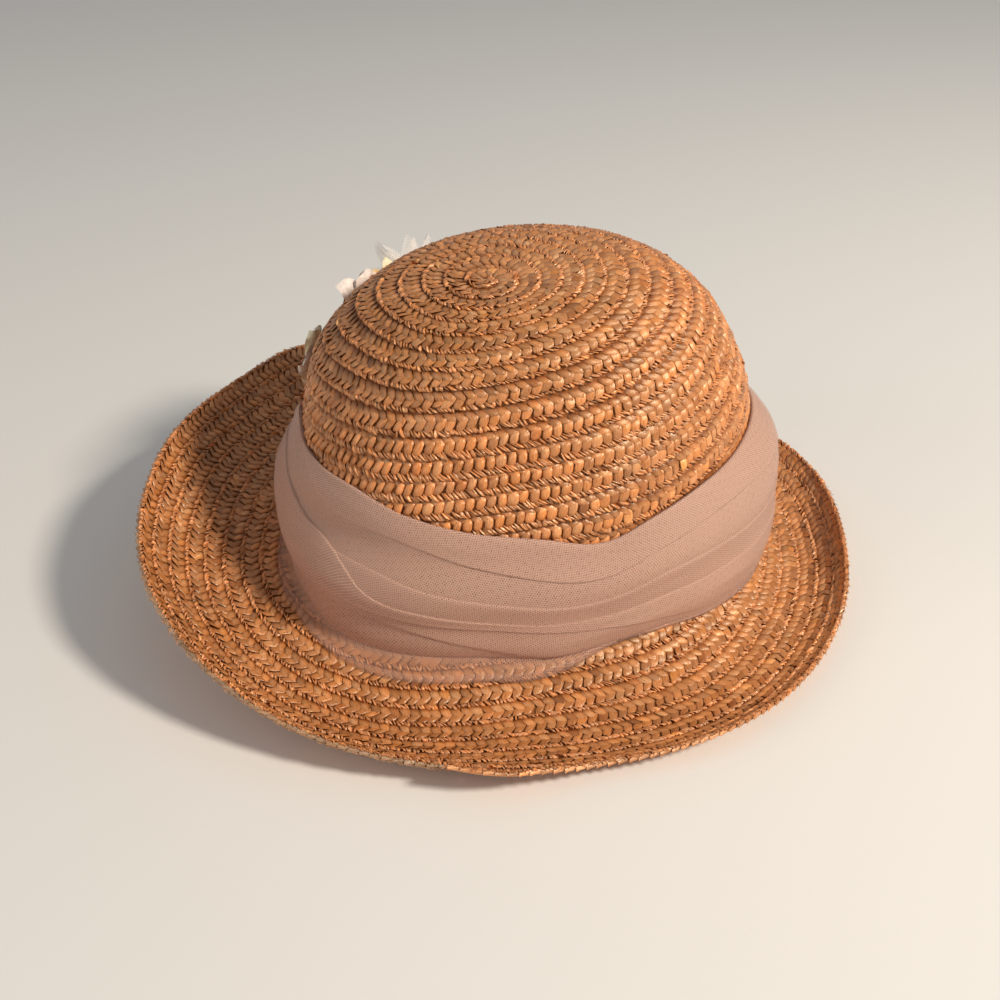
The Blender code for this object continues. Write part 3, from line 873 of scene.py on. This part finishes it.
def band(share, bearing):
    """The band's inner face, as the solid has it; past share 1 it runs on over the brim."""
    s = np.clip(share, 0, 1)[..., None]
    upper = lifted(crown, BAND.at("top", bearing), bearing, 2 * GAP)
    foot = BAND.at("reach", bearing) * BRIM_WIDTH
    lower = lifted(brim_solid, foot, bearing, 2 * GAP + 0.6 * NET_THICK)
    drop = (upper - lower) * [0, 0, 0.3]
    puff = outward(bearing) * (NET_SWELL * BAND.at("swell", bearing))[..., None]
    line = ((1 - s) ** 3 * upper + 3 * (1 - s) ** 2 * s * (upper - drop + 1.4 * puff)
            + 3 * (1 - s) * s ** 2 * (lower + drop + 0.5 * puff) + s ** 3 * lower)
    s = s[..., 0]
    pleats = np.sin(2 * math.pi * (2 * s + BAND.at("drift", bearing))) * np.sin(math.pi * s) ** 0.5
    line = line + outward(bearing) * (NET_PLEAT * pleats)[..., None]
    over = lifted(brim, foot + np.maximum(share - 1, 0) * BRIM_WIDTH, bearing, 2.5 * GAP)
    return leaning(np.where((share > 1)[..., None], over, line)) - SEAT


def loose_end(bearing):
    """Where the loosest layer ends, on past the band's own lower edge."""
    return 1 + np.maximum(LOOSE.at("reach", bearing) - BAND.at("reach", bearing), 0.01)


def wrinkles(share, bearing, seed):
    """Long and fine wrinkles along the band, from about -1 to 1, others for each seed."""
    wave = np.random.default_rng(seed)
    ripple = np.zeros_like(share)
    for _ in range(7):
        count, phase = wave.integers(2, 7), wave.uniform(0, 6.3)
        drift, tilt = wave.integers(1, 4), wave.uniform(1, 3)
        slide = tilt * np.sin(np.radians(drift * bearing) + phase)
        ripple += np.sin(2 * math.pi * count * share * 1.5 + phase + slide) / count
    fine = np.sin(2 * math.pi * 9 * share + 2.5 * np.sin(np.radians(3 * bearing + 40 * seed))) * 0.25
    return ripple * 0.5 + fine


def net_layer(table, loose, lift, deep, seed):
    """One layer of the gathers; both its edges turn back under it, as the folds of the net do."""
    bearings = np.arange(NET_COLUMNS) * 360 / NET_COLUMNS
    back = np.array([TURN_BACK, TURN_BACK / 2])
    along = np.concatenate([back, np.linspace(0, 1, NET_ROWS), 1 - back[::-1]])
    under = np.concatenate([[1, 0.9, 0.45], np.zeros(NET_ROWS - 2), [0.45, 0.9, 1]])
    t, bearing = np.meshgrid(along, bearings, indexing="ij")
    first, last = table.at("begin", bearing), loose_end(bearing) if loose else table.at("end", bearing)
    share = first + (last - first) * t
    flat_at_edges = np.sin(math.pi * np.clip(t, 0.02, 0.98)) ** 0.5
    height = lift - 0.5 * MM * under[:, None] + deep * wrinkles(share, bearing, seed) * flat_at_edges
    points = band(share, bearing)
    veil = 1 - 0.62 * smooth(0.97, 1.05, share)
    return closed(points + normals_of(points) * height[..., None]), closed(veil)


def net_band():
    """The layers as one piece. Each layer's weave runs its own way, and its veil thins it."""
    gathered = Gathered()
    for k, (name, lift, deep) in enumerate(LAID):
        grid, veil = net_layer(LAYERS[name], k == 0, lift * MM, deep * MM, k + 1)
        rows, columns = grid.shape[:2]
        u, v = lengths_along(grid, 1).mean(axis=0) * np.ones((rows, 1)), lengths_along(grid, 0)
        turn = math.radians(WEAVE_TURN + WEAVE_STEP * k)
        cos, sin = math.cos(turn), math.sin(turn)
        gathered.add(grid, grid_faces(rows, columns), np.repeat(veil[..., None], 4, axis=-1),
                     np.stack([u * cos - v * sin, u * sin + v * cos], -1) / MM,
                     np.stack([u / u.max(), 0.04 + 0.92 * v / v.max()], -1))
    return gathered.build("net_wrap", NET, "weave", stacked=True)


wrap = net_band()
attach(wrap, "root")
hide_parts("tulle_band")


# Flowers and the tuft
PINK, GREY, CREAM, GOLD = (0.97, 0.86, 0.79), (0.95, 0.90, 0.80), (0.97, 0.88, 0.62), (0.92, 0.66, 0.30)
PETAL_START = 0.06  # where a petal begins, as a share of its reach
TUFT_REACH = 0.0215


def stand_at(way, bearing):
    """Where a flower stands on the crown: its foot, its level side, its upward side and its axis."""
    way, bearing = np.array([way]), np.array([bearing])
    foot = crown(way, bearing)[0]
    axis = lifted(crown, way, bearing, 1.0)[0] - foot
    up = unit(np.array([0, 0, 1]) - axis * axis[2])
    return foot, np.cross(up, axis), up, axis


def petal(stand, angle, reach, width, cup, lift, point, seed):
    """One petal as a grid running out from the flower's middle; point from 0, round, to 1, sharp."""
    wave = np.random.default_rng(seed)
    foot, side, up, axis = stand
    t, q = np.meshgrid(np.linspace(PETAL_START, 1, 11), np.linspace(-1, 1, 9), indexing="ij")
    round_end = np.sin(math.pi * np.clip(t, 0, 1) ** 0.75 * 0.5) * np.sqrt(np.maximum(1 - t ** 5, 0.02))
    sharp_end = np.sin(math.pi * np.minimum(t * 1.6, 0.5)) * (1 - t) ** 0.8 + 0.02
    wide = width * (round_end * (1 - point) + sharp_end * point)
    along = reach * t * (1 - 0.10 * (1 - point) * q ** 2 * t)
    ruffle = 0.035 * np.sin(3.1 * q + wave.uniform(0, 6)) + 0.015 * np.sin(7 * q + wave.uniform(0, 6))
    ruffle = ruffle * t ** 2
    fold = 0.16 * wave.uniform(0.4, 1.3) * q ** 2 * (1 - 0.4 * t) + 0.03 * np.cos(9 * q) * t
    twist = wave.normal(0, 0.10) * q * t
    height = lift + reach * (cup * t ** 2 + ruffle + fold + twist)
    angle = angle + wave.normal(0, 0.04)
    ahead = math.cos(angle) * side + math.sin(angle) * up
    across = -math.sin(angle) * side + math.cos(angle) * up
    grid = foot + along[..., None] * ahead + (wide * q)[..., None] * across + height[..., None] * axis
    return leaning(grid) - SEAT


def patch_mesh(name, grids, look, colours):
    """Separate small sheets of one cloth as one piece, mapped in millimetres."""
    gathered = Gathered()
    for k, (grid, colour) in enumerate(zip(grids, colours)):
        rows, columns = grid.shape[:2]
        u, v = lengths_along(grid, 1), lengths_along(grid, 0)
        u = u - u[:, -1:] / 2
        inside = (np.linspace(0.05, 0.95, count) for count in (columns, rows))
        gathered.add(grid, grid_faces(rows, columns), np.broadcast_to((*colour, 1.0), (rows, columns, 4)),
                     np.stack([u / MM + 40 * k, v / MM], -1), np.stack(np.meshgrid(*inside), -1))
    return gathered.build(name, look, "weave")


def finish_cloth(piece, node):
    """Attaches a piece of petals to the root body and hides the part that it stands in for."""
    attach(piece, "root")
    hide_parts(node)


def cloth_flower(node, way, bearing, radius, count, cup, turn, colours):
    """Two rings of petals and a small gathered middle, cut from one cloth."""
    stand = stand_at(way, bearing)
    grids, shades = [], []
    rings = ((1.00, count, turn, cup, 1.2, 0.0), (0.62, count, turn + math.pi / count, cup + 0.18, 2.0, 0.0),
             (0.26, 5, turn, 1.0, 2.6, 0.2))
    for ring, (share, number, first, rise, lift, point) in enumerate(rings):
        reach = radius * share
        width = reach * 0.62 * 5.5 / (number + 0.5)
        for j in range(number):
            grids.append(petal(stand, first + 2 * math.pi * j / number, reach, width, rise,
                               (lift + 0.25 * (j % 2)) * MM, point, 10 * ring + j + int(bearing)))
            shades.append(np.array(colours[(j + ring) % len(colours)]) * (1 - 0.10 * ring))
    finish_cloth(patch_mesh(node + "_petals", grids, PETAL, shades), node)


def tuft_of_net():
    """Two rings of pointed pieces of net."""
    stand = stand_at(0.545, 123.5)
    points = []
    for ring in range(2):
        for j in range(8):
            angle = 0.20 + math.pi * j / 4 + 0.12 * (j % 3 - 1) + 0.2 * ring
            reach = TUFT_REACH * (1 - 0.12 * ring) * (0.9 + 0.1 * (j % 2))
            cup, lift, seed = 0.50 + 0.12 * ring, (1.0 + ring) * MM, 60 + j + 8 * ring
            points.append(petal(stand, angle, reach, 8.5 * MM, cup, lift, 0.8, seed))
    finish_cloth(patch_mesh("tuft_net", points, TUFT_NET, [(0.6, 0.6, 0.6)] * len(points)),
                 "tulle_tuft")


def tuft_heart():
    """A small gathered heart beside the tuft."""
    stand = stand_at(0.505, 131.0)
    petals = [petal(stand, 0.4 + 2 * math.pi * j / 5, 8.5 * MM, 4.2 * MM, 0.75, 1.6 * MM, 0.25, 90 + j)
              for j in range(5)]
    finish_cloth(patch_mesh("tuft_heart", petals, PETAL, [GOLD, CREAM, GOLD, CREAM, GOLD]),
                 "tulle_tuft")


cloth_flower("flower_large", 0.565, 140.0, 0.0185, 6, 0.20, 0.82, (PINK, PINK, CREAM))
cloth_flower("flower_small", 0.600, 165.0, 0.0145, 5, 0.12, 0.10, (GREY, CREAM, PINK))
tuft_of_net()
tuft_heart()


# Camera, light and floor
SENSOR = 36.0
PICTURE = 1000  # the photograph's width, and the next two, in its pixels
FOCAL = 1250
PLUMB = 1940  # from the picture's middle down to where upright lines meet
ROLL = 0.4
CAMERA_PLACE = (-0.0099, -0.4767, 0.3003)  # in the hat's own frame, leaning


def add_camera():
    data = bpy.data.cameras.new("camera")
    data.sensor_width, data.lens = SENSOR, SENSOR * FOCAL / PICTURE
    data.clip_start = 0.01
    camera = linked("camera", data)
    pitch, roll = math.atan(FOCAL / PLUMB), math.radians(ROLL)
    forward = Vector((0, math.cos(pitch), -math.sin(pitch)))
    right, down = Vector((1, 0, 0)), Vector((0, -math.sin(pitch), -math.cos(pitch)))
    image_right = math.cos(roll) * right + math.sin(roll) * down
    image_down = -math.sin(roll) * right + math.cos(roll) * down
    turn = Matrix((image_right, -image_down, -forward)).transposed()
    camera.matrix_world = Matrix.Translation(Vector(CAMERA_PLACE) - Vector(SEAT)) @ turn.to_4x4()
    bpy.context.scene.camera = camera


def add_light(name, place, target, size, power, colour):
    """A round lamp that points at a target."""
    data = bpy.data.lights.new(name, "AREA")
    data.shape, data.size, data.energy, data.color = "DISK", size, power, colour
    lamp = linked(name, data)
    lamp.location = place
    lamp.rotation_euler = (Vector(target) - Vector(place)).to_track_quat("-Z", "Y").to_euler()


def add_world():
    world = bpy.data.worlds.new("studio")
    bpy.context.scene.world = world
    world.use_nodes = True
    background = world.node_tree.nodes["Background"]
    background.inputs[0].default_value = (0.95, 0.97, 1.0, 1.0)
    background.inputs[1].default_value = 0.30


add_camera()
floor = make_mesh("floor", [(-4, -3, 0), (4, -3, 0), (4, 6, 0), (-4, 6, 0)], [(0, 1, 2, 3)], FLOOR)
add_light("key", (1.20, -0.73, 1.23), (0, 0, 0.05), 0.30, 32.5, (1.0, 0.88, 0.74))
add_light("fill", (-1.6, -0.8, 0.75), (0, 0, 0.08), 1.2, 6.5, (1.0, 0.88, 0.76))
add_world()
bpy.context.scene.view_settings.view_transform = "Standard"
